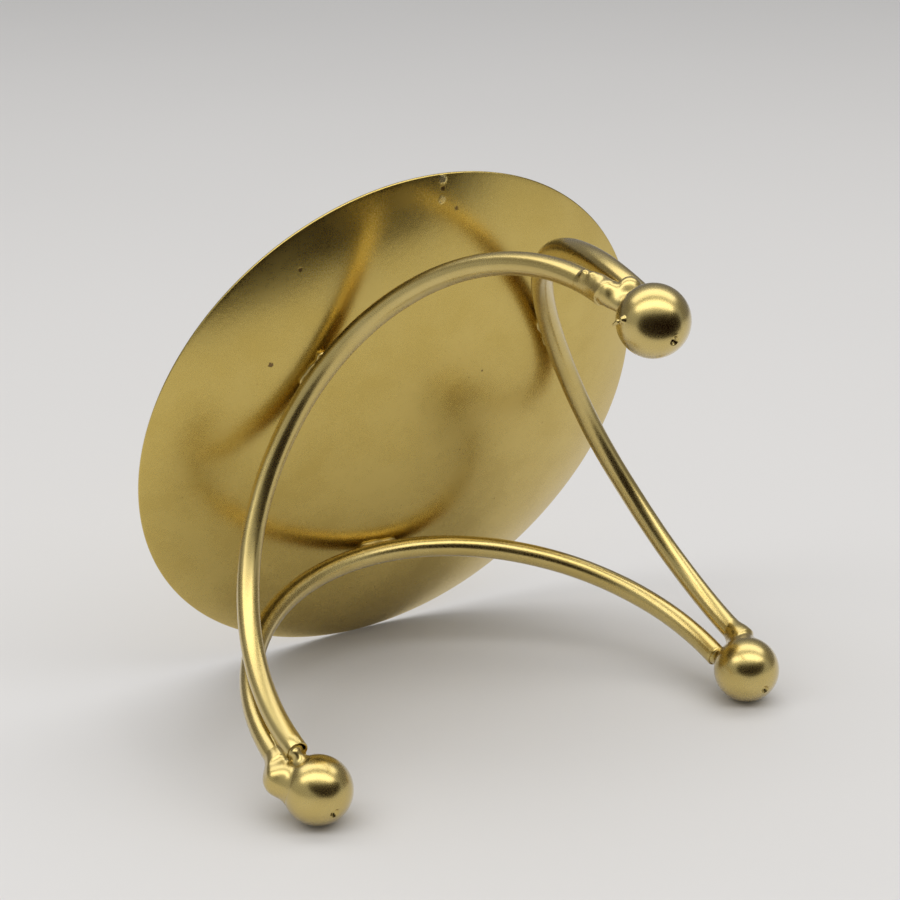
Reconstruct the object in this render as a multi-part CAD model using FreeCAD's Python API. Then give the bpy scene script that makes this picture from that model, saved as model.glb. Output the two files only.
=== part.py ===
import FreeCAD, Part
import math
import os

from FreeCAD import Vector

# Three-footed dish stand, in millimetres.
# +Z is up and z = 0 is the table. The Z axis is the axis of the dish.
# A shallow pressed dish sits on three bent wire arches. Neighbouring arches
# share a ball foot: two wire ends are welded to each ball. Every piece below
# is a separate solid: dish, arches, balls, weld beads and tack welds.

# ---------------------------------------------------------------- dimensions

DISH_DIAMETER = 104.0
DISH_CURVE_RADIUS = 190.0     # spherical radius of the underside
SHEET_THICKNESS = 0.6
SHEET_EDGE_RADIUS = 0.2
RIM_HEIGHT = 66.5             # underside of the sheet at the rim

WIRE_DIAMETER = 4.0
ARCH_BEND_RADIUS = 46.0       # to the wire's centre line
ARCH_TO_DISH_GAP = 0.2        # bridged by the tack weld

BALL_DIAMETER = 12.0
BALL_PIT_DIAMETER = 1.1
BALL_PIT_DEPTH = 0.5

TACK_RADIUS = 1.9
TACK_LENGTH = 9.0
BEAD_BITE = 0.6               # how deep a bead starts inside its ball

# The ball feet: bearing about Z in degrees, distance from the Z axis.
FEET = {
    "a": (-2.0, 52.0),
    "b": (121.0, 59.0),
    "c": (238.5, 52.5),
}

# The arches, as they are set by hand in the welding jig:
# bearing of the crown, standoff of the crown from the Z axis,
# slide along the span, twist about the vertical,
# and the heights at which the two legs are cut (start leg, end leg).
ARCHES = {
    "ab": (60.0, 28.8, 3.3, 0.0, 11.0, 17.4),
    "bc": (180.0, 31.7, -1.8, 1.5, 11.9, 12.0),
    "ca": (300.0, 26.4, 1.9, 0.0, 12.2, 13.2),
}

# The foot beads: arch, which leg, foot, bead radius,
# drop below the cut wire end, and shift away from the Z axis.
FOOT_BEADS = {
    "bead_a_ab": ("ab", "start", "a", 1.5, 0.3, 0.0),
    "bead_a_ca": ("ca", "end", "a", 3.0, 2.8, 1.2),
    "bead_b_ab": ("ab", "end", "b", 2.3, 0.3, 0.0),
    "bead_b_bc": ("bc", "start", "b", 2.3, 0.4, 0.0),
    "bead_c_bc": ("bc", "end", "c", 2.3, 0.4, 0.0),
    "bead_c_ca": ("ca", "start", "c", 1.8, 0.4, 0.0),
}

WIRE_RADIUS = WIRE_DIAMETER / 2.0
BALL_RADIUS = BALL_DIAMETER / 2.0
DISH_RADIUS = DISH_DIAMETER / 2.0

# Centre of the sphere that the dish is pressed to.
SPHERE_HEIGHT = RIM_HEIGHT + math.sqrt(DISH_CURVE_RADIUS**2 - DISH_RADIUS**2)


def polar(bearing, distance, height=0.0):
    angle = math.radians(bearing)
    return Vector(distance * math.cos(angle), distance * math.sin(angle), height)


def foot_centre(foot):
    bearing, distance = FEET[foot]
    return polar(bearing, distance, BALL_RADIUS)


def arch_base(arch):
    """Point under the crown, and the unit vector from the start leg to the end leg."""
    bearing, standoff, slide, twist = ARCHES[arch][:4]
    base = polar(bearing, standoff) + polar(bearing + 90.0, slide)
    span = polar(bearing + 90.0 + twist, 1.0)
    return base, span


def crown_height(arch):
    """Height of the wire's centre line where it meets the underside of the dish."""
    base, _ = arch_base(arch)
    reach = DISH_CURVE_RADIUS + WIRE_RADIUS + ARCH_TO_DISH_GAP
    return SPHERE_HEIGHT - math.sqrt(reach**2 - base.Length**2)


def leg_angle(arch, cut_height):
    """Angle of the cut above the bend centre, 0 when the leg runs on straight."""
    rise = cut_height - (crown_height(arch) - ARCH_BEND_RADIUS)
    return math.asin(max(rise, 0.0) / ARCH_BEND_RADIUS)


def arch_point(arch, angle):
    """Point of the bend: 0 at the end leg, pi at the start leg."""
    base, span = arch_base(arch)
    height = crown_height(arch) - ARCH_BEND_RADIUS * (1.0 - math.sin(angle))
    point = base + span * (ARCH_BEND_RADIUS * math.cos(angle))
    return Vector(point.x, point.y, height)


def leg_end(arch, leg):
    """Centre of the cut face of one leg."""
    start_cut, end_cut = ARCHES[arch][4:]
    if leg == "start":
        point = arch_point(arch, math.pi - leg_angle(arch, start_cut))
        return Vector(point.x, point.y, start_cut)
    point = arch_point(arch, leg_angle(arch, end_cut))
    return Vector(point.x, point.y, end_cut)


# ---------------------------------------------------------------------- dish

def make_dish():
    """Spherical cap of sheet metal with a lightly rounded cut edge."""
    centre = Vector(0, 0, SPHERE_HEIGHT)
    rim_angle = math.asin(DISH_RADIUS / DISH_CURVE_RADIUS)

    def arc_point(radius, angle):
        return centre + Vector(radius * math.sin(angle), 0, -radius * math.cos(angle))

    outer = DISH_CURVE_RADIUS
    inner = DISH_CURVE_RADIUS - SHEET_THICKNESS
    underside = Part.Arc(
        arc_point(outer, 0.0),
        arc_point(outer, rim_angle / 2.0),
        arc_point(outer, rim_angle),
    )
    topside = Part.Arc(
        arc_point(inner, 0.0),
        arc_point(inner, rim_angle / 2.0),
        arc_point(inner, rim_angle),
    )
    edge = Part.LineSegment(arc_point(outer, rim_angle), arc_point(inner, rim_angle))
    axis = Part.LineSegment(arc_point(inner, 0.0), arc_point(outer, 0.0))
    outline = [underside.toShape(), edge.toShape(), topside.toShape(), axis.toShape()]
    profile = Part.Face(Part.Wire(Part.__sortEdges__(outline)))
    dish = profile.revolve(Vector(0, 0, 0), Vector(0, 0, 1), 360)
    rim_edges = [e for e in dish.Edges if is_rim_edge(e)]
    return dish.makeFillet(SHEET_EDGE_RADIUS, rim_edges)


def is_rim_edge(edge):
    """True for the two circles that bound the cut edge of the sheet."""
    if edge.Degenerated or not isinstance(edge.Curve, Part.Circle):
        return False
    return abs(edge.Curve.Axis.z) > 0.99 and edge.Curve.Radius > DISH_RADIUS - 1.0


# -------------------------------------------------------------------- arches

def make_arch(arch):
    """Round wire: two short legs and one half-circle bend in an upright plane."""
    start_cut, end_cut = ARCHES[arch][4:]
    start_angle = math.pi - leg_angle(arch, start_cut)
    end_angle = leg_angle(arch, end_cut)
    start_bend = arch_point(arch, start_angle)
    end_bend = arch_point(arch, end_angle)
    edges = []
    if start_bend.z - start_cut > 0.01:
        edges.append(Part.LineSegment(leg_end(arch, "start"), start_bend).toShape())
    crown = arch_point(arch, math.pi / 2.0)
    edges.append(Part.Arc(start_bend, crown, end_bend).toShape())
    if end_bend.z - end_cut > 0.01:
        edges.append(Part.LineSegment(end_bend, leg_end(arch, "end")).toShape())
    path = Part.Wire(edges)
    first = edges[0]
    tangent = first.tangentAt(first.FirstParameter)
    section = Part.Wire(Part.makeCircle(WIRE_RADIUS, leg_end(arch, "start"), tangent))
    return path.makePipeShell([section], True, True)


# --------------------------------------------------------------------- balls

def make_ball(foot):
    """Solid ball with the small pit that marks its lowest point."""
    centre = foot_centre(foot)
    ball = Part.makeSphere(BALL_RADIUS, centre)
    pit = Part.makeCone(BALL_PIT_DIAMETER / 2.0, 0.0, BALL_PIT_DEPTH, centre - Vector(0, 0, BALL_RADIUS))
    return ball.cut(pit)


# --------------------------------------------------------------------- welds

def make_capsule(start, end, radius):
    """Rounded rod between two points."""
    direction = end - start
    rod = Part.makeCylinder(radius, direction.Length, start, direction)
    return rod.fuse([Part.makeSphere(radius, start), Part.makeSphere(radius, end)]).removeSplitter()


def make_foot_bead(name, wires, balls, earlier_beads):
    """Weld metal that runs from the cut end of a wire onto its ball."""
    arch, leg, foot, radius, drop, shift = FOOT_BEADS[name]
    bearing = FEET[foot][0]
    start = leg_end(arch, leg) + polar(bearing, shift, -drop)
    centre = foot_centre(foot)
    outward = (start - centre).normalize()
    end = centre + outward * (BALL_RADIUS - BEAD_BITE)
    bead = make_capsule(start, end, radius)
    return bead.cut(list(wires.values()) + [balls[foot]] + earlier_beads)


def make_tack(arch, wire, dish):
    """Weld metal between the crown of an arch and the underside of the dish."""
    base, span = arch_base(arch)
    crown = arch_point(arch, math.pi / 2.0)
    centre = Vector(0, 0, SPHERE_HEIGHT)
    to_dish = (centre - crown).normalize()
    contact = crown + to_dish * (WIRE_RADIUS + ARCH_TO_DISH_GAP / 2.0)
    half = span * (TACK_LENGTH / 2.0 - TACK_RADIUS)
    capsule = make_capsule(contact - half, contact + half, TACK_RADIUS)
    above_dish = Part.makeSphere(DISH_CURVE_RADIUS, centre)
    return capsule.cut([above_dish, wire])


# ------------------------------------------------------------------ assembly

def main():
    dish = make_dish()
    wires = {arch: make_arch(arch) for arch in ARCHES}
    balls = {foot: make_ball(foot) for foot in FEET}

    nodes = {"dish": dish}
    for arch, wire in wires.items():
        nodes["arch_" + arch] = wire
        nodes["tack_" + arch] = make_tack(arch, wire, dish)
    for foot, ball in balls.items():
        nodes["ball_" + foot] = ball
    beads = {}
    for name in FOOT_BEADS:
        beads[name] = make_foot_bead(name, wires, balls, list(beads.values()))
    nodes.update(beads)

    for name, shape in nodes.items():
        shape.exportStep("parts/" + name + ".step")
        print(name, len(shape.Solids), round(shape.Volume, 2), shape.isValid(), shape.BoundBox)


os.makedirs("parts", exist_ok=True)
main()
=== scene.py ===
import math

import bpy
import numpy as np
from mathutils import Matrix


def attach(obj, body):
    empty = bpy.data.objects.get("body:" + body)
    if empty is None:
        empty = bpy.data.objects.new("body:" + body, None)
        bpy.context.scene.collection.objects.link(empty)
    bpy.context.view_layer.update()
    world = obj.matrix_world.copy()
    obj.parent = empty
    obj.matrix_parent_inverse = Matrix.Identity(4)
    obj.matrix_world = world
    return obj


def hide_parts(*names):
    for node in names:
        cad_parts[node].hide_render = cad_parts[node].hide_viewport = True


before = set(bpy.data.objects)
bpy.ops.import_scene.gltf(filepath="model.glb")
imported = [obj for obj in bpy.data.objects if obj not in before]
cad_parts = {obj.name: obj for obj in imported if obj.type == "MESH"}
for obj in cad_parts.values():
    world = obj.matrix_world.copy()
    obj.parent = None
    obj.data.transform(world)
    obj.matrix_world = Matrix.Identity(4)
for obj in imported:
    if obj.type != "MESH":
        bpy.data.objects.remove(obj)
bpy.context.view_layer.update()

# Three-footed dish stand. Lengths of the part are in millimetres, like the CAD
# source, and every mesh is scaled to metres when it is made. The stage is in metres.
MM = 0.001
BODY = "root"

# ------------------------------------------------------------ CAD dimensions

DISH_RADIUS = 52.0
DISH_CURVE_RADIUS = 190.0
SHEET_THICKNESS = 0.6
SHEET_EDGE_RADIUS = 0.2
RIM_HEIGHT = 66.5
WIRE_RADIUS = 2.0
ARCH_BEND_RADIUS = 46.0
ARCH_TO_DISH_GAP = 0.2
BALL_RADIUS = 6.0

# Centre of the sphere that the dish is pressed to.
SPHERE_HEIGHT = RIM_HEIGHT + math.sqrt(DISH_CURVE_RADIUS**2 - DISH_RADIUS**2)
SPHERE_CENTRE = np.array([0.0, 0.0, SPHERE_HEIGHT])

# The ball feet: bearing about Z in degrees, distance from the Z axis.
FEET = {"a": (-2.0, 52.0), "b": (121.0, 59.0), "c": (238.5, 52.5)}

# The arches: crown bearing, standoff, slide along the span, twist,
# and the heights at which the start leg and the end leg are cut.
ARCHES = {
    "ab": (60.0, 28.8, 3.3, 0.0, 11.0, 17.4),
    "bc": (180.0, 31.7, -1.8, 1.5, 11.9, 12.0),
    "ca": (300.0, 26.4, 1.9, 0.0, 12.2, 13.2),
}

# ------------------------------------------- dimensions of the visual detail

# The dish of the photographed stand is welded on a little off centre, and its rim
# is pressed steeper than the rest.
DISH_SHIFT = np.array([0.3, -1.4, 0.0])
RIM_FLARE_START = 32.0
RIM_FLARE_SLOPE = math.tan(math.radians(9.5))

# The pit at the lowest point of a ball is rougher and deeper than in the CAD.
BALL_PIT_RADIUS = 0.7
BALL_PIT_DEPTH = 0.75
PIT_LIP_REACH = 1.3           # how far from its axis a pit disturbs the ball

# The foot beads: arch, leg, foot, radius of the neck from the cut end to the ball,
# shift of the neck on the cut face, how widely the neck flows onto the ball and onto
# the wire, and the extra lobes, each an offset from the cut end and a radius.
FOOT_BEADS = {
    "bead_a_ab": ("ab", "start", "a", 1.15, (0.5, 0.15, 0.0), 1.2, 0.3, []),
    "bead_a_ca": ("ca", "end", "a", 1.9, (0.0, 0.0, 0.0), 2.2, 1.4, [((1.4, -0.4, -2.9), 3.05)]),
    "bead_b_ab": ("ab", "end", "b", 1.6, (0.0, 0.0, 0.0), 1.2, 0.3, [
        ((-0.6, 1.3, -0.6), 1.75), ((-3.35, 1.0, -2.7), 2.0),
        ((-0.6, 1.7, 1.5), 1.0), ((-0.2, 2.2, 2.9), 0.6), ((0.3, 2.2, 4.3), 0.45)]),
    "bead_b_bc": ("bc", "start", "b", 2.1, (0.0, 0.0, 0.0), 2.8, 1.8, []),
    "bead_c_bc": ("bc", "end", "c", 2.2, (0.0, 0.0, 0.0), 2.2, 1.8, []),
    "bead_c_ca": ("ca", "start", "c", 1.6, (0.0, 0.0, 0.0), 1.2, 0.3, []),
}
LOBE_BLEND = 1.9              # between the lobes and the rest of their bead
LOBE_TO_LOBE = 1.0            # between one lobe and the next
NEIGHBOUR_BLEND = 0.9         # onto the other wire of the same foot

BEAD_BITE = 0.6               # how deep a bead starts inside its ball
HIDDEN_DEPTH_IN_BALL = 0.9    # weld metal is hollowed out below this depth
HIDDEN_DEPTH_IN_WIRE = 0.7
HIDDEN_DEPTH_IN_SHEET = 0.35
BEAD_INSET = 0.025            # keeps the skirt of a weld just under the painted surface
TACK_INSET = 0.05
WELD_ROUGHNESS, WELD_RIPPLE = 0.07, 3.0       # height and length of its ripples
TACK_ROUGHNESS, TACK_RIPPLE = 0.20, 3.2
BEAD_GRID = 0.13              # grid steps that the weld shapes are sampled with
TACK_GRID = 0.14
SPATTER_GRID = 0.08
SPATTER_REACH = 2.0
SPATTER_DEPTH = 0.4

TACK_HALF_LENGTH = 2.6
TACK_RADIUS = 0.95
TACK_REACH = 6.2

# ---------------------------------------------------------- layout functions


def polar(bearing, distance, height=0.0):
    angle = math.radians(bearing)
    return np.array([distance * math.cos(angle), distance * math.sin(angle), height])


def unit(vector):
    vector = np.asarray(vector, float)
    return vector / np.linalg.norm(vector)


def foot_centre(foot):
    return polar(*FEET[foot], BALL_RADIUS)


def arch_base(arch):
    """Point under the crown, and the unit vector from the start leg to the end leg."""
    bearing, standoff, slide, twist = ARCHES[arch][:4]
    base = polar(bearing, standoff) + polar(bearing + 90.0, slide)
    return base, polar(bearing + 90.0 + twist, 1.0)


def crown_height(arch):
    base, _ = arch_base(arch)
    reach = DISH_CURVE_RADIUS + WIRE_RADIUS + ARCH_TO_DISH_GAP
    return SPHERE_HEIGHT - math.sqrt(reach**2 - base @ base)


def leg_angle(arch, cut_height):
    rise = cut_height - (crown_height(arch) - ARCH_BEND_RADIUS)
    return math.asin(max(rise, 0.0) / ARCH_BEND_RADIUS)


def arch_point(arch, angle):
    """Point of the bend: 0 at the end leg, pi at the start leg."""
    base, span = arch_base(arch)
    point = base + span * (ARCH_BEND_RADIUS * math.cos(angle))
    point[2] = crown_height(arch) - ARCH_BEND_RADIUS * (1.0 - math.sin(angle))
    return point


def leg_end(arch, leg):
    """Centre of the cut face of one leg."""
    start_cut, end_cut = ARCHES[arch][4:]
    if leg == "start":
        point = arch_point(arch, math.pi - leg_angle(arch, start_cut))
        point[2] = start_cut
    else:
        point = arch_point(arch, leg_angle(arch, end_cut))
        point[2] = end_cut
    return point


def arch_path(arch, step=0.6):
    """Points along the wire's centre line from the start leg to the end leg."""
    start_cut, end_cut = ARCHES[arch][4:]
    start_angle = math.pi - leg_angle(arch, start_cut)
    end_angle = leg_angle(arch, end_cut)
    count = int((start_angle - end_angle) * ARCH_BEND_RADIUS / step)
    points = [arch_point(arch, a) for a in np.linspace(start_angle, end_angle, count)]
    if points[0][2] - start_cut > 0.05:
        points.insert(0, leg_end(arch, "start"))
    if points[-1][2] - end_cut > 0.05:
        points.append(leg_end(arch, "end"))
    return np.array(points)


# ------------------------------------------------------------ mesh functions

# How finely the turned and swept pieces are divided.
DISH_RINGS, DISH_SPOKES = 76, 300
BALL_RINGS, BALL_SPOKES = 96, 144
WIRE_SPOKES = 40

SHARP_ANGLE = 50.0            # degrees between faces, above which an edge stays sharp
RIPPLE_WAVES = 7


def ripple(points, seed, wavelength):
    """Smooth, repeatable noise between about -1 and 1 at each point."""
    rng = np.random.default_rng(seed)
    total = np.zeros(len(points))
    for _ in range(RIPPLE_WAVES):
        direction = unit(rng.normal(size=3))
        phase = rng.uniform(0.0, 2.0 * math.pi)
        length = wavelength * rng.uniform(0.7, 1.5)
        total += np.sin(points @ direction * (2.0 * math.pi / length) + phase)
    return total / math.sqrt(RIPPLE_WAVES)


def make_piece(name, points, faces, material, node):
    """A smooth-shaded mesh object that rides on the body and, when node is given,
    stands for that CAD node."""
    mesh = bpy.data.meshes.new(name)
    mesh.from_pydata((np.asarray(points) * MM).tolist(), [], faces)
    mesh.validate()
    mesh.shade_smooth()
    mesh.set_sharp_from_angle(angle=math.radians(SHARP_ANGLE))
    mesh.materials.append(material)
    piece = bpy.data.objects.new(name, mesh)
    bpy.context.scene.collection.objects.link(piece)
    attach(piece, BODY)
    if node:
        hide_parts(node)
    return piece


def loft(rings, start_pole, end_pole):
    """Points and faces of a tube through rings of equal size, closed by two poles."""
    rings = np.asarray(rings)
    count, around = rings.shape[:2]
    points = np.vstack([rings.reshape(-1, 3), start_pole, end_pole])
    faces = []
    for i in range(count - 1):
        near, far = i * around, (i + 1) * around
        for j in range(around):
            k = (j + 1) % around
            faces.append((near + j, near + k, far + k, far + j))
    pole, base = count * around, (count - 1) * around
    faces += [(pole, (j + 1) % around, j) for j in range(around)]
    faces += [(pole + 1, base + j, base + (j + 1) % around) for j in range(around)]
    return points, faces


def lathe(profile, around, centre):
    """Turns a profile of (radius, height) pairs about the vertical through centre.
    The first and the last pair lie on the axis."""
    angles = np.linspace(0.0, 2.0 * math.pi, around, endpoint=False)
    circle = np.stack([np.cos(angles), np.sin(angles)], 1)
    rings = []
    for radius, height in profile[1:-1]:
        ring = np.zeros((around, 3))
        ring[:, :2] = circle * radius
        ring[:, 2] = height
        rings.append(ring + centre)
    start = np.array([0.0, 0.0, profile[0][1]]) + centre
    end = np.array([0.0, 0.0, profile[-1][1]]) + centre
    return loft(rings, start, end)


# --------------------------------------------------------------- dish shape


def rim_lift(radius):
    """Extra height of the sheet towards the rim, which is pressed a little steeper."""
    share = np.clip((radius - RIM_FLARE_START) / (DISH_RADIUS - RIM_FLARE_START), 0.0, None)
    return RIM_FLARE_SLOPE * (DISH_RADIUS - RIM_FLARE_START) * share**3 / 3.0


def underside_height(x, y):
    radius = math.hypot(x - DISH_SHIFT[0], y - DISH_SHIFT[1])
    return SPHERE_HEIGHT - math.sqrt(DISH_CURVE_RADIUS**2 - radius**2) + rim_lift(radius)


# Marks on the dish paint: x, y, size, and whether the mark stands up. A mark that stands up is a
# small raised nub coloured light yellow as a painted highlight; the others are dark nicks.
DISH_MARKS = [
    (-24.8, 43.1, 1.0, True), (-22.9, 40.3, 0.8, True), (-24.0, 41.8, 0.6, False),
    (-44.7, 25.8, 0.8, False), (5.4, 44.8, 0.5, False), (17.7, 31.8, 0.5, False),
    (-24.7, 37.3, 0.4, False), (9.1, 24.2, 0.8, False), (5.6, 26.4, 0.5, True),
]

# ---------------------------------------------------------------- materials

GOLD_BRIGHT = (0.63, 0.475, 0.128, 1.0)
GOLD_DEEP = (0.56, 0.41, 0.095, 1.0)
PALE_BRIGHT = (0.62, 0.485, 0.170, 1.0)
PALE_DEEP = (0.56, 0.42, 0.120, 1.0)
SOOT_BROWN = (0.16, 0.085, 0.02, 1.0)
# Light yellow of the raised marks on the dish: a painted highlight.
NUB_HIGHLIGHT_YELLOW = (0.80, 0.67, 0.32, 1.0)
COAT_ROUGHNESS = 0.22
RAGGED_EDGE = 0.0009          # metres: how far noise pulls the outline of a mark

# Scales of the noises of the paint, in waves per metre.
CLOUD_SCALE, SOOT_SCALE, PEEL_SCALE = 95.0, 420.0, 900.0
RAGGED_SCALE, FLAKE_SCALE = 2600.0, 5200.0
PORE_SCALE, PORE_PATCH_SCALE = 260.0, 150.0


def gold_material(name, bright, deep, roughness, grain, speck, coat, brown=0.0, marks=()):
    """Satin metallic gold lacquer: fine metal-flake grain, soft orange peel, cloudy
    colour and roughness, scattered pinholes, soot on cut faces and single marks,
    the raised ones coloured light as a painted highlight."""
    material = bpy.data.materials.new(name)
    material.use_nodes = True
    nodes, links = material.node_tree.nodes, material.node_tree.links
    nodes.clear()

    def add(kind, **values):
        node = nodes.new(kind)
        for key, value in values.items():
            if hasattr(node, key) and key not in node.inputs:
                setattr(node, key, value)
            else:
                node.inputs[key].default_value = value
        return node

    output = add("ShaderNodeOutputMaterial")
    shader = add("ShaderNodeBsdfPrincipled", Metallic=1.0)
    shader.inputs["Coat Weight"].default_value = coat
    shader.inputs["Coat Roughness"].default_value = COAT_ROUGHNESS
    place = add("ShaderNodeTexCoord").outputs["Object"]

    def noise(scale, detail=3.0, rough=0.55):
        node = add("ShaderNodeTexNoise", Scale=scale, Detail=detail, Roughness=rough)
        links.new(place, node.inputs["Vector"])
        return node.outputs["Fac"]

    def span(value, low, high, to_low, to_high):
        node = add("ShaderNodeMapRange", clamp=True)
        for key, number in (("From Min", low), ("From Max", high),
                            ("To Min", to_low), ("To Max", to_high)):
            node.inputs[key].default_value = number
        links.new(value, node.inputs["Value"])
        return node.outputs["Result"]

    def mix(factor, first, second):
        node = add("ShaderNodeMix", data_type="RGBA")
        for index, value in ((0, factor), (6, first), (7, second)):
            socket = node.inputs[index]
            if isinstance(value, bpy.types.NodeSocket):
                links.new(value, socket)
            else:
                socket.default_value = value
        return node.outputs[2]

    def maths(operation, first, second):
        node = add("ShaderNodeMath", operation=operation)
        for socket, value in zip(node.inputs, (first, second)):
            if isinstance(value, bpy.types.NodeSocket):
                links.new(value, socket)
            else:
                socket.default_value = value
        return node.outputs[0]

    cloud = noise(CLOUD_SCALE, 4.0)
    flake = noise(FLAKE_SCALE, 2.0, 0.6)
    peel = noise(PEEL_SCALE, 2.0, 0.5)
    colour = mix(span(cloud, 0.35, 0.65, 0.0, 1.0), deep, bright)
    glint = (bright[0] * 1.12, bright[1] * 1.1, bright[2] * 1.05, 1.0)
    tone = mix(span(flake, 0.35, 0.65, 0.0, 0.22), colour, glint)

    pores = add("ShaderNodeTexVoronoi", Scale=PORE_SCALE, Randomness=1.0)
    links.new(place, pores.inputs["Vector"])
    keep = span(noise(PORE_PATCH_SCALE, 2.0), 0.56, 0.66, 0.0, 1.0)
    hole = maths("MULTIPLY", span(pores.outputs["Distance"], 0.03, 0.075, 1.0, 0.0), keep)
    hole = maths("MULTIPLY", hole, speck)
    dark = (deep[0] * 0.32, deep[1] * 0.26, deep[2] * 0.3, 1.0)
    tone = mix(hole, tone, dark)
    if brown:
        soot = span(noise(SOOT_SCALE, 3.0), 0.4, 0.6, brown * 0.45, brown)
        tone = mix(soot, tone, SOOT_BROWN)
    relief = maths("MULTIPLY", hole, -2.5)
    ragged = maths("MULTIPLY", noise(RAGGED_SCALE, 2.0), RAGGED_EDGE)
    for x, y, size, raised in marks:
        reach = add("ShaderNodeVectorMath", operation="DISTANCE")
        links.new(place, reach.inputs[0])
        reach.inputs[1].default_value = (x * MM, y * MM, underside_height(x, y) * MM)
        edge = maths("ADD", reach.outputs["Value"], ragged)
        inner = size * MM * 0.55 + RAGGED_EDGE / 2.0
        spot = span(edge, inner, size * MM + RAGGED_EDGE / 2.0, 1.0, 0.0)
        # A raised mark is coloured light yellow as a painted highlight; a sunken one is coloured
        # dark.
        tone = mix(spot, tone, NUB_HIGHLIGHT_YELLOW if raised else dark)
        relief = maths("ADD", relief, maths("MULTIPLY", spot, 9.0 if raised else -9.0))
    links.new(tone, shader.inputs["Base Color"])

    rough = span(cloud, 0.3, 0.7, roughness - 0.03, roughness + 0.04)
    rough = maths("ADD", rough, span(flake, 0.3, 0.7, -0.03, 0.03))
    links.new(maths("ADD", rough, maths("MULTIPLY", hole, 0.3)), shader.inputs["Roughness"])

    height = maths("ADD", maths("MULTIPLY", flake, grain), maths("MULTIPLY", peel, grain * 1.6))
    height = maths("ADD", height, relief)
    bump = add("ShaderNodeBump", Strength=0.35, Distance=0.00002)
    links.new(height, bump.inputs["Height"])
    links.new(bump.outputs["Normal"], shader.inputs["Normal"])
    links.new(shader.outputs["BSDF"], output.inputs["Surface"])
    return material


# name, lighter and deeper gold, roughness, grain, specks, strength of the clear coat
dish_gold = gold_material("gold_dish_paint", GOLD_BRIGHT, GOLD_DEEP, 0.27, 1.0, 1.0, 0.5,
                          marks=DISH_MARKS)
wire_gold = gold_material("gold_wire_paint", PALE_BRIGHT, PALE_DEEP, 0.27, 0.5, 0.6, 1.0)
ball_gold = gold_material("gold_ball_paint", PALE_BRIGHT, PALE_DEEP, 0.26, 0.6, 0.5, 1.0)
weld_gold = gold_material("gold_weld_paint", PALE_BRIGHT, PALE_DEEP, 0.29, 1.0, 0.8, 1.0)
cut_gold = gold_material("gold_cut_end", GOLD_BRIGHT, GOLD_DEEP, 0.4, 4.0, 1.0, 0.3, brown=0.8)

# --------------------------------------------------------------------- dish


def dish_wave(points):
    """Slight waviness of the pressed sheet, along its normal, at points of the dish."""
    flat = points * np.array([1.0, 1.0, 0.0])
    reach = np.clip(np.linalg.norm(flat, axis=-1) / DISH_RADIUS, 0.0, 1.0)
    return ripple(flat, 11, 42.0) * 0.05 * reach + ripple(flat, 12, 17.0) * 0.010


def build_dish():
    """Pressed sheet-metal cap with a rounded cut edge and a slight waviness."""
    rim_angle = math.asin(DISH_RADIUS / DISH_CURVE_RADIUS)
    outer, inner = DISH_CURVE_RADIUS, DISH_CURVE_RADIUS - SHEET_THICKNESS
    fillet = SHEET_EDGE_RADIUS

    def at(radius, angle):
        return np.array([radius * math.sin(angle), -radius * math.cos(angle)])

    along = np.array([math.cos(rim_angle), math.sin(rim_angle)])
    out = np.array([math.sin(rim_angle), -math.cos(rim_angle)])
    last = rim_angle - fillet / outer
    profile = [at(outer, t) for t in np.linspace(0.0, last, DISH_RINGS)]
    for radius, turn in ((outer - fillet, (15, 90)), (inner + fillet, (90, 165))):
        centre = at(radius, rim_angle) - along * fillet
        for degrees in np.linspace(*turn, 6):
            t = math.radians(degrees)
            profile.append(centre + fillet * (out * math.cos(t) + along * math.sin(t)))
    profile += [at(inner, t) for t in np.linspace(last, 0.0, DISH_RINGS)]
    profile = [(r, z + rim_lift(r)) for r, z in profile]
    points, faces = lathe(profile, DISH_SPOKES, SPHERE_CENTRE)
    normals = points - SPHERE_CENTRE
    normals /= np.linalg.norm(normals, axis=1)[:, None]
    wave = dish_wave(points)
    points = points + normals * wave[:, None] + DISH_SHIFT
    return make_piece("dish_sheet", points, faces, dish_gold, "dish")


# --------------------------------------------------------------------- wires

# Cupped cut end of a wire: distance past the cut, and radius, from the edge inwards.
CUT_END = ((0.0, 1.97), (0.07, 1.9), (0.10, 1.78), (0.06, 1.66),
           (-0.16, 1.5), (-0.34, 1.1), (-0.42, 0.5))
CUT_END_DEPTH = 0.45
CUT_FACE_RINGS = 4            # bands of faces at each end that show the cut metal
LONG_WAVE, LONG_WAVE_SIZE = 24.0, 0.05        # the wire is not quite straight sideways
SHORT_WAVE, SHORT_WAVE_SIZE = 9.0, 0.012


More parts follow.
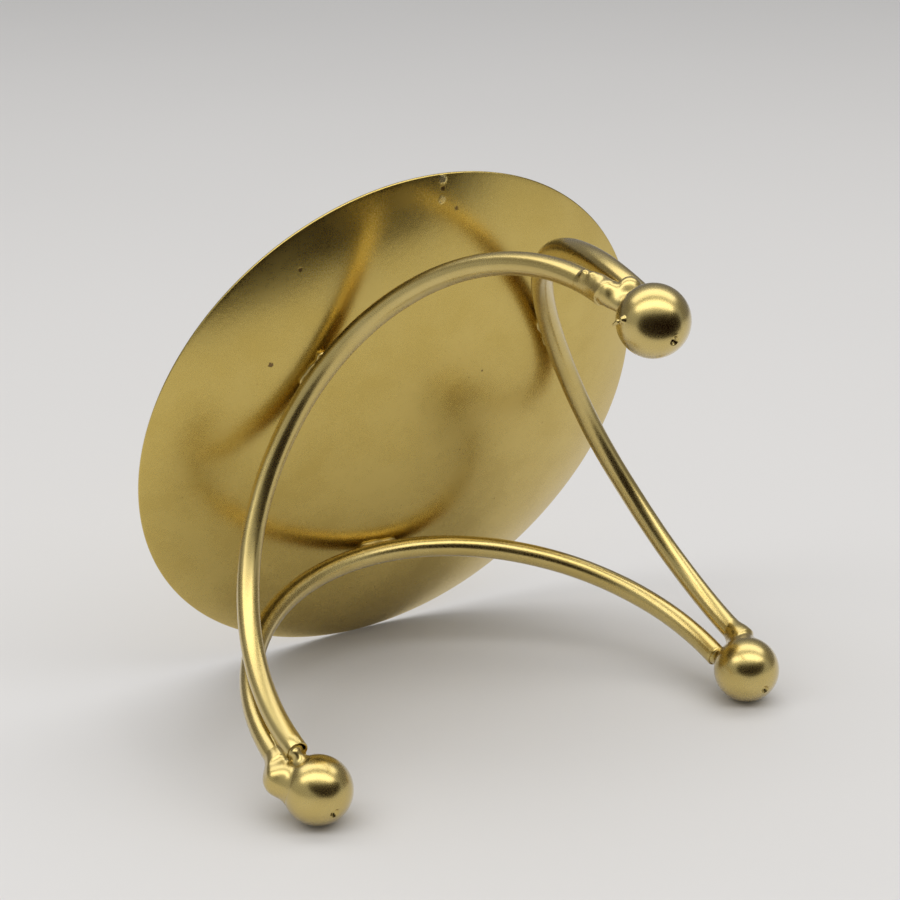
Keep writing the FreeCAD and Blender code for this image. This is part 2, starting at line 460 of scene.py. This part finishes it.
def build_wire(arch, seed):
    """Round wire on the CAD centre line, with sheared, slightly cupped ends."""
    around = WIRE_SPOKES
    path = arch_path(arch)
    tangents = np.gradient(path, axis=0)
    tangents /= np.linalg.norm(tangents, axis=1)[:, None]
    _, span = arch_base(arch)
    side = unit(np.cross(span, [0.0, 0.0, 1.0]))
    angles = np.linspace(0.0, 2.0 * math.pi, around, endpoint=False)

    def ring(centre, tangent, radius):
        normal = np.cross(side, tangent)
        radius = np.broadcast_to(radius, around)[:, None]
        return centre + radius * (np.cos(angles)[:, None] * normal + np.sin(angles)[:, None] * side)

    rng = np.random.default_rng(seed)
    rings = []
    for centre, tangent in zip(path, tangents):
        rings.append(ring(centre, tangent, WIRE_RADIUS))
    ends = []
    for index, sign in ((0, -1.0), (-1, 1.0)):
        centre, tangent = path[index], tangents[index]
        cap = []
        for past, radius in CUT_END:
            oval = 0.035 * np.sin(angles * 2 + rng.uniform(0, 6))
            uneven = 1.0 + oval + 0.02 * np.sin(angles * 5 + rng.uniform(0, 6))
            if past == 0.0:
                uneven = 1.0
            cap.append(ring(centre + tangent * sign * past, tangent, radius * uneven))
        ends.append((cap, centre - tangent * sign * CUT_END_DEPTH))
    rings = ends[0][0][::-1] + rings[1:-1] + ends[1][0]
    points, faces = loft(rings, ends[0][1], ends[1][1])
    wobble = ripple(points, seed, LONG_WAVE)[:, None] * side * LONG_WAVE_SIZE
    shiver = ripple(points, seed + 5, SHORT_WAVE)[:, None] * side * SHORT_WAVE_SIZE
    points = points + wobble + shiver
    piece = make_piece("wire_" + arch, points, faces, wire_gold, "arch_" + arch)
    piece.data.materials.append(cut_gold)
    band = CUT_FACE_RINGS * around
    quads = (len(rings) - 1) * around
    for face in piece.data.polygons:
        if face.index < band or quads - band <= face.index:
            face.material_index = 1
    return piece


# --------------------------------------------------------------------- balls


def build_ball(foot):
    """Solid ball with a small rough pit at its lowest point."""
    profile = [(0.0, -BALL_RADIUS + BALL_PIT_DEPTH)]
    for share in (0.3, 0.6, 0.85):
        profile.append((BALL_PIT_RADIUS * share, -BALL_RADIUS + BALL_PIT_DEPTH * (1.0 - share**2)))
    edge = math.asin(BALL_PIT_RADIUS / BALL_RADIUS)
    lip = edge + np.array([0.012, 0.03])
    for t in np.concatenate([lip, np.linspace(edge + 0.06, math.pi, BALL_RINGS)]):
        profile.append((BALL_RADIUS * math.sin(t), -BALL_RADIUS * math.cos(t)))
    profile[-1] = (0.0, BALL_RADIUS)
    points, faces = lathe(profile, BALL_SPOKES, np.zeros(3))
    # The pit is wider one way than the other, with an uneven lip.
    near = np.clip(1.0 - np.hypot(points[:, 0], points[:, 1]) / PIT_LIP_REACH, 0.0, 1.0)
    near = near * (points[:, 2] < 0.0)
    turn = np.arctan2(points[:, 1], points[:, 0])
    oval = 0.22 * np.sin(2.0 * turn + ord(foot))
    uneven = 0.25 + oval + 0.12 * np.sin(3.0 * turn + 2.0 * ord(foot))
    points[:, :2] *= (1.0 + near * uneven)[:, None]
    points = points + foot_centre(foot)
    return make_piece("foot_ball_" + foot, points, faces, ball_gold, "ball_" + foot)


# --------------------------------------------------------------------- welds

FAR_INSIDE = -99.0            # stands for no cut at all, in a field of distances
PINCH_PASSES = 6


def without_pinches(field, step):
    """Fills one corner wherever two diagonal grid points touch only by an edge."""
    field = field.copy()
    just_inside = -0.05 * step
    for _ in range(PINCH_PASSES):
        for a, b in ((0, 1), (0, 2), (1, 2)):
            corners = {}
            for p in (0, 1):
                for q in (0, 1):
                    spot = [slice(None)] * 3
                    spot[a] = slice(p, field.shape[a] - 1 + p)
                    spot[b] = slice(q, field.shape[b] - 1 + q)
                    corners[p, q] = field[tuple(spot)]
            inside = {key: corner < 0.0 for key, corner in corners.items()}
            falling = inside[0, 0] & inside[1, 1] & ~inside[0, 1] & ~inside[1, 0]
            rising = inside[0, 1] & inside[1, 0] & ~inside[0, 0] & ~inside[1, 1]
            corners[0, 1][falling] = just_inside
            corners[0, 0][rising] = just_inside
    return field


def surface_net(field, low, step):
    """Closed quad mesh around the grid points where field is negative."""
    field = without_pinches(field, step)
    inside = field < 0.0
    cells = tuple(n - 1 for n in field.shape)
    total = np.zeros(cells + (3,))
    hits = np.zeros(cells)
    for axis in range(3):
        others = [a for a in range(3) if a != axis]
        for p in (0, 1):
            for q in (0, 1):
                first = [slice(None)] * 3
                first[axis] = slice(0, cells[axis])
                first[others[0]] = slice(p, p + cells[others[0]])
                first[others[1]] = slice(q, q + cells[others[1]])
                second = list(first)
                second[axis] = slice(1, cells[axis] + 1)
                v0, v1 = field[tuple(first)], field[tuple(second)]
                crossed = inside[tuple(first)] != inside[tuple(second)]
                share = np.where(crossed, v0 / np.where(crossed, v0 - v1, 1.0), 0.0)
                total[..., axis] += share
                total[..., others[0]] += np.where(crossed, p, 0.0)
                total[..., others[1]] += np.where(crossed, q, 0.0)
                hits += crossed
    active = hits > 0
    number = -np.ones(cells, int)
    number[active] = np.arange(active.sum())
    corner = np.stack(np.nonzero(active), 1)
    points = low + step * (corner + total[active] / hits[active][:, None])
    faces = []
    for axis in range(3):
        b, c = [(1, 2), (2, 0), (0, 1)][axis]
        first = [slice(1, -1)] * 3
        first[axis] = slice(0, -1)
        second = list(first)
        second[axis] = slice(1, None)
        s0, s1 = inside[tuple(first)], inside[tuple(second)]
        spots = np.stack(np.nonzero(s0 != s1), 1)
        outward = s0[s0 != s1]
        spots[:, b] += 1
        spots[:, c] += 1
        quad = []
        for db, dc in ((-1, -1), (0, -1), (0, 0), (-1, 0)):
            cell = spots.copy()
            cell[:, b] += db
            cell[:, c] += dc
            quad.append(number[cell[:, 0], cell[:, 1], cell[:, 2]])
        quad = np.stack(quad, 1)
        quad[~outward] = quad[~outward][:, ::-1]
        faces.append(quad)
    return points, np.concatenate(faces).tolist()


def smooth_min(first, second, width):
    """Smaller of two distances, blended over the given width."""
    h = np.clip(0.5 + 0.5 * (second - first) / width, 0.0, 1.0)
    return second + (first - second) * h - width * h * (1.0 - h)


def to_sphere(p, centre, radius):
    return np.linalg.norm(p - centre, axis=-1) - radius


def to_capsule(p, start, end, radius):
    along = end - start
    share = np.clip(((p - start) @ along) / (along @ along), 0.0, 1.0)
    return np.linalg.norm(p - start - share[..., None] * along, axis=-1) - radius


def to_wire(p, arch):
    """Distance to the round wire of an arch, cut square at its two ends."""
    base, span = arch_base(arch)
    side = unit(np.cross(span, [0.0, 0.0, 1.0]))
    q = p - base
    x, y, z = q @ span, q @ side, p[..., 2] - (crown_height(arch) - ARCH_BEND_RADIUS)
    bend = np.hypot(np.hypot(x, np.maximum(z, 0.0)) - ARCH_BEND_RADIUS, y)
    leg = np.hypot(np.abs(x) - ARCH_BEND_RADIUS, y)
    tube = np.where(z > 0.0, bend, leg) - WIRE_RADIUS
    cuts = []
    for leg_name, sign in (("start", -1.0), ("end", 1.0)):
        end = leg_end(arch, leg_name)
        rise = end[2] - (crown_height(arch) - ARCH_BEND_RADIUS)
        ahead = np.array([0.0, 0.0, -1.0])
        if rise > 0.0:
            radial = unit(end - base - np.array([0.0, 0.0, end[2] - rise]))
            ahead = unit(np.cross(side, radial))
            ahead = ahead if ahead[2] < 0.0 else -ahead
        cuts.append(np.where(x * sign > 0.0, (p - end) @ ahead, FAR_INSIDE))
    return np.maximum(tube, np.maximum(cuts[0], cuts[1]))


def grid_around(centre, reach, step):
    axis = np.arange(-reach, reach + step, step)
    mesh = np.stack(np.meshgrid(axis, axis, axis, indexing="ij"), -1)
    return mesh + centre, centre - reach


def build_foot_bead(name):
    """Weld metal that runs from the cut end of a wire onto its ball."""
    arch, leg, foot, radius, shift, flow_ball, flow_wire, lobes = FOOT_BEADS[name]
    centre = foot_centre(foot)
    cut = leg_end(arch, leg)
    start = cut + np.array(shift)
    end = centre + unit(start - centre) * (BALL_RADIUS - BEAD_BITE)
    middle = (start + end) / 2.0
    spots = [cut + np.array(offset) for offset, _ in lobes]
    reach = np.linalg.norm(start - end) / 2.0 + radius + 0.6 * flow_ball + 0.8
    for spot, (_, size) in zip(spots, lobes):
        reach = max(reach, np.linalg.norm(spot - middle) + size + 1.0)
    p, low = grid_around(middle, reach + 0.3, BEAD_GRID)
    flat = p.reshape(-1, 3)
    rough = WELD_ROUGHNESS * ripple(flat, len(name) + ord(foot), WELD_RIPPLE)
    rough = rough.reshape(p.shape[:-1])
    ball = to_sphere(p, centre, BALL_RADIUS)
    wire = to_wire(p, arch)
    other = [a for a in ARCHES if foot in a and a != arch][0]
    neighbour = to_wire(p, other)
    body = smooth_min(to_capsule(p, start, end, radius) + rough, ball, flow_ball)
    body = smooth_min(body, wire, flow_wire)
    if lobes:
        lump = to_sphere(p, spots[0], lobes[0][1])
        for spot, (_, size) in zip(spots[1:], lobes[1:]):
            lump = smooth_min(lump, to_sphere(p, spot, size), LOBE_TO_LOBE)
        body = smooth_min(body, lump + rough, LOBE_BLEND)
        body = smooth_min(body, neighbour, NEIGHBOUR_BLEND)
    field = np.maximum(body + BEAD_INSET, -(ball + HIDDEN_DEPTH_IN_BALL))
    field = np.maximum(field, -(wire + HIDDEN_DEPTH_IN_WIRE))
    field = np.maximum(field, -(neighbour + HIDDEN_DEPTH_IN_WIRE))
    field = np.maximum(field, to_sphere(p, middle, reach))
    points, faces = surface_net(field, low, BEAD_GRID)
    return make_piece("foot_" + name, points, faces, weld_gold, name)


def build_spatter(name, foot, grains):
    """Small grains of weld spatter stuck to a ball: direction, size and lift of each."""
    centre = foot_centre(foot)
    places = [centre + unit(direction) * (BALL_RADIUS + lift) for direction, _, lift in grains]
    middle = np.mean(places, axis=0)
    p, low = grid_around(middle, SPATTER_REACH + 0.2, SPATTER_GRID)
    lump = to_sphere(p, places[0], grains[0][1])
    for place, (_, size, _) in zip(places[1:], grains[1:]):
        lump = smooth_min(lump, to_sphere(p, place, size), 0.25)
    ball = to_sphere(p, centre, BALL_RADIUS)
    field = np.maximum(smooth_min(lump, ball, 0.35) + BEAD_INSET, -(ball + SPATTER_DEPTH))
    field = np.maximum(field, to_sphere(p, middle, SPATTER_REACH))
    points, faces = surface_net(field, low, SPATTER_GRID)
    return make_piece(name, points, faces, weld_gold, None)


def build_tack(arch):
    """Low weld bead along the crown, between the wire and the underside of the dish."""
    base, span = arch_base(arch)
    crown = arch_point(arch, math.pi / 2.0)
    to_dish = unit(SPHERE_CENTRE - crown)
    contact = crown + to_dish * (WIRE_RADIUS + ARCH_TO_DISH_GAP / 2.0)
    p, low = grid_around(contact, TACK_REACH + 0.4, TACK_GRID)
    half = span * TACK_HALF_LENGTH
    lump = to_capsule(p, contact - half, contact + half, TACK_RADIUS)
    flat = p.reshape(-1, 3)
    rough = TACK_ROUGHNESS * ripple(flat, 40 + ord(arch[0]), TACK_RIPPLE)
    lump = lump + rough.reshape(lump.shape)
    sheet = np.linalg.norm(p - SPHERE_CENTRE - DISH_SHIFT, axis=-1) - DISH_CURVE_RADIUS
    sheet = sheet - dish_wave(flat - DISH_SHIFT).reshape(sheet.shape)
    wire = to_wire(p, arch)
    body = smooth_min(smooth_min(lump, sheet, 0.7), wire, 0.5)
    field = np.maximum(body + TACK_INSET, -(sheet + HIDDEN_DEPTH_IN_SHEET))
    field = np.maximum(field, -(wire + HIDDEN_DEPTH_IN_WIRE))
    field = np.maximum(field, to_sphere(p, contact, TACK_REACH))
    points, faces = surface_net(field, low, TACK_GRID)
    return make_piece("crown_tack_" + arch, points, faces, weld_gold, "tack_" + arch)


build_dish()
for arch_name, arch_seed in (("ab", 21), ("bc", 22), ("ca", 23)):
    build_wire(arch_name, arch_seed)
    build_tack(arch_name)
for foot_name in FEET:
    build_ball(foot_name)
for bead_name in FOOT_BEADS:
    build_foot_bead(bead_name)
build_spatter("weld_spatter_b", "b", [
    ((0.76, 0.62, 0.05), 0.62, 0.05), ((0.84, 0.52, 0.16), 0.42, 0.35),
    ((0.87, 0.47, 0.19), 0.34, 0.52), ((0.90, 0.42, 0.22), 0.26, 0.75)])

# --------------------------------------------------------------------- stage

# The photographed stand lies on its side, on two balls and the dish rim.
# TABLE_UP is the normal of that table in the frame of the part, TABLE_RIGHT
# the direction to the right of the picture, and TABLE_TOWARDS points to the camera.
TABLE_UP = unit([-0.4531, 0.8376, 0.305])
TABLE_RIGHT = unit([-0.82448, -0.26411, -0.50048])
TABLE_RIGHT = unit(TABLE_RIGHT - TABLE_UP * (TABLE_RIGHT @ TABLE_UP))
TABLE_TOWARDS = np.cross(TABLE_RIGHT, TABLE_UP)
TABLE_OFFSET = -0.02924
TABLE_SIZE = 12.0
AIM = (0.0, 0.0, 0.045)       # what the lamps face, on the table
LAMP_COLOUR = (1.0, 0.985, 0.96)
LAMP_DISTANCE = 1.0


def table_point(right, towards, height):
    """A point in metres, given from the table's origin below the part."""
    return (TABLE_UP * (TABLE_OFFSET + height) + TABLE_RIGHT * right
            + TABLE_TOWARDS * towards)


def facing(location, direction, up):
    """Matrix at location whose -Z axis runs along direction and whose Y axis is near up."""
    back = -unit(direction)
    right = unit(np.cross(up, back))
    top = np.cross(back, right)
    matrix = Matrix.Identity(4)
    for row in range(3):
        matrix[row][0], matrix[row][1], matrix[row][2] = right[row], top[row], back[row]
        matrix[row][3] = location[row]
    return matrix


def add_object(name, data, matrix):
    thing = bpy.data.objects.new(name, data)
    bpy.context.scene.collection.objects.link(thing)
    thing.matrix_world = matrix
    return thing


def from_sky(azimuth, elevation):
    """Unit direction from the table: azimuth 0 is towards the camera, 90 to the right."""
    a, e = math.radians(azimuth), math.radians(elevation)
    flat = TABLE_TOWARDS * math.cos(a) + TABLE_RIGHT * math.sin(a)
    return flat * math.cos(e) + TABLE_UP * math.sin(e)


def softbox(name, azimuth, elevation, width, height, power):
    """Large rectangular lamp that faces the stand and stays out of the picture."""
    light = bpy.data.lights.new(name, "AREA")
    light.shape = "RECTANGLE"
    light.size, light.size_y = width, height
    light.energy = power
    light.color = LAMP_COLOUR
    direction = from_sky(azimuth, elevation)
    location = table_point(*AIM) + direction * LAMP_DISTANCE
    lamp = add_object(name, light, facing(location, -direction, TABLE_UP))
    lamp.visible_camera = False
    return lamp


front_lamp = softbox("softbox_front", azimuth=0.0, elevation=70.0,
                     width=2.6, height=0.46, power=8.2)
back_lamp = softbox("softbox_back", azimuth=180.0, elevation=67.0,
                    width=2.0, height=0.50, power=5.3)

world = bpy.data.worlds.new("studio")
bpy.context.scene.world = world
world.use_nodes = True
sky = world.node_tree.nodes["Background"]
sky.inputs["Color"].default_value = (0.86, 0.87, 0.88, 1.0)
sky.inputs["Strength"].default_value = 0.52


def floor_material(name, colour, glow=0.0):
    """Pale matt surface that only shows from its upper side."""
    material = bpy.data.materials.new(name)
    material.use_nodes = True
    nodes, links = material.node_tree.nodes, material.node_tree.links
    shader = nodes["Principled BSDF"]
    shader.inputs["Roughness"].default_value = 0.55
    shader.inputs["Specular IOR Level"].default_value = 0.3
    shader.inputs["Emission Color"].default_value = (1.0, 0.99, 0.98, 1.0)
    shader.inputs["Emission Strength"].default_value = glow
    place = nodes.new("ShaderNodeTexCoord")
    cloud = nodes.new("ShaderNodeTexNoise")
    cloud.inputs["Scale"].default_value = 6.0
    tint = nodes.new("ShaderNodeMix")
    tint.data_type = "RGBA"
    tint.inputs[6].default_value = colour
    tint.inputs[7].default_value = tuple(c * 0.97 for c in colour[:3]) + (1.0,)
    links.new(place.outputs["Object"], cloud.inputs["Vector"])
    links.new(cloud.outputs["Fac"], tint.inputs[0])
    links.new(tint.outputs[2], shader.inputs["Base Color"])
    clear = nodes.new("ShaderNodeBsdfTransparent")
    side = nodes.new("ShaderNodeNewGeometry")
    choose = nodes.new("ShaderNodeMixShader")
    links.new(side.outputs["Backfacing"], choose.inputs["Fac"])
    links.new(shader.outputs["BSDF"], choose.inputs[1])
    links.new(clear.outputs["BSDF"], choose.inputs[2])
    links.new(choose.outputs["Shader"], nodes["Material Output"].inputs["Surface"])
    return material


def add_floor(name, matrix, material):
    """Square table top that is stage, not part of the object."""
    mesh = bpy.data.meshes.new(name)
    h = TABLE_SIZE / 2.0
    mesh.from_pydata([(-h, -h, 0.0), (h, -h, 0.0), (h, h, 0.0), (-h, h, 0.0)], [], [(0, 1, 2, 3)])
    mesh.materials.append(material)
    plane = add_object(name, mesh, matrix)
    return plane


# The table touches balls a and c and the rim of the dish. That plane is turned a
# little from the camera's level: these are its rises to the right and to the camera.
FLOOR_HEIGHT = 0.00018
FLOOR_RISES = (0.0076, 0.0123)
floor_up = unit(TABLE_UP - TABLE_RIGHT * FLOOR_RISES[0] - TABLE_TOWARDS * FLOOR_RISES[1])

pale = floor_material("pale_table", (0.69, 0.68, 0.675, 1.0))
floor_place = facing(table_point(0.0, 0.0, FLOOR_HEIGHT), -floor_up, TABLE_TOWARDS)
lying = add_floor("floor_lying", floor_place, pale)
lying.visible_shadow = False
bright = floor_material("bright_table", (0.93, 0.925, 0.92, 1.0), 0.2)
standing = add_floor("floor_stand", Matrix.Identity(4), bright)
standing.visible_diffuse = False
standing.visible_glossy = False
standing.visible_shadow = False
# The softboxes belong to the lying stand: they leave the other floor out.
left_out = bpy.data.collections.new("left_out")
left_out.objects.link(standing)
left_out.collection_objects[0].light_linking.link_state = "EXCLUDE"
for lamp in (front_lamp, back_lamp):
    lamp.light_linking.receiver_collection = left_out


def glow_material(name, colour, strength):
    """Black card that only gives off its own faint light, used as a painted reflection in the gold.
    """
    material = bpy.data.materials.new(name)
    material.use_nodes = True
    shader = material.node_tree.nodes["Principled BSDF"]
    shader.inputs["Base Color"].default_value = (0.0, 0.0, 0.0, 1.0)
    shader.inputs["Specular IOR Level"].default_value = 0.0
    shader.inputs["Emission Color"].default_value = colour
    shader.inputs["Emission Strength"].default_value = strength
    return material


CARD_COLUMNS, CARD_ROWS = 41, 9


def add_card(name, origin, azimuths, foot, top, waist, roundness, material):
    """Curved card that only shows in reflections, from its foot to its top, each
    a (reach, height); with roundness its ends are drawn in towards the waist."""
    first, last = azimuths
    points, faces = [], []
    for i in range(CARD_COLUMNS):
        across = 2.0 * i / (CARD_COLUMNS - 1) - 1.0
        azimuth = first + (last - first) * (across + 1.0) / 2.0
        half = 1.0 - roundness * (1.0 - math.sqrt(1.0 - across**2))
        for j in range(CARD_ROWS):
            share = waist + half * (j / (CARD_ROWS - 1) - waist)
            reach = foot[0] + (top[0] - foot[0]) * share
            height = foot[1] + (top[1] - foot[1]) * share
            points.append(table_point(*origin, height) + from_sky(azimuth, 0.0) * reach)
            if i and j:
                k = i * CARD_ROWS + j
                faces.append((k - CARD_ROWS - 1, k - 1, k, k - CARD_ROWS))
    mesh = bpy.data.meshes.new(name)
    mesh.from_pydata([tuple(p) for p in points], [], faces)
    mesh.materials.append(material)
    card = add_object(name, mesh, Matrix.Identity(4))
    card.visible_camera = False
    card.visible_diffuse = False
    card.visible_shadow = False


# Painted reflection: a sheet seen only in reflections, glowing faintly reddish, that paints dark,
# reddish reflections onto the gold where the surroundings are in shade.
dark_reflection_glow = glow_material("dark_reflection_card", (1.0, 0.36, 0.26, 1.0), 0.010)
add_card("dark_reflection_card", origin=(0.02, 0.0), azimuths=(-52.0, 82.0), foot=(0.112, 0.001),
         top=(0.29, 0.31), waist=0.25, roundness=0.96, material=dark_reflection_glow)
# Painted reflection: a sheet seen only in reflections, glowing less than the sky, that paints
# darker, warm rims along the edges of the balls and wires.
rim_reflection_glow = glow_material("rim_reflection_card", (0.9, 0.86, 0.8, 1.0), 0.24)
add_card("rim_reflection_card", origin=(0.0, 0.0), azimuths=(95.0, 265.0), foot=(1.1, 0.001),
         top=(1.1, 0.75), waist=0.5, roundness=0.0, material=rim_reflection_glow)

# The camera looks down on the table by its pitch in degrees, square to TABLE_RIGHT.
CAMERA_PLACE = (-0.0233, 0.3938, 0.2071)
CAMERA_PITCH = 20.2
camera_data = bpy.data.cameras.new("camera")
camera_data.lens = 102.35
camera_data.sensor_width = 36.0
camera_data.clip_start = 0.01
camera_data.clip_end = 50.0
pitch = math.radians(CAMERA_PITCH)
look = -TABLE_TOWARDS * math.cos(pitch) - TABLE_UP * math.sin(pitch)
camera_matrix = facing(table_point(*CAMERA_PLACE), look, TABLE_UP)
bpy.context.scene.camera = add_object("camera", camera_data, camera_matrix)
bpy.context.scene.view_settings.view_transform = "Standard"
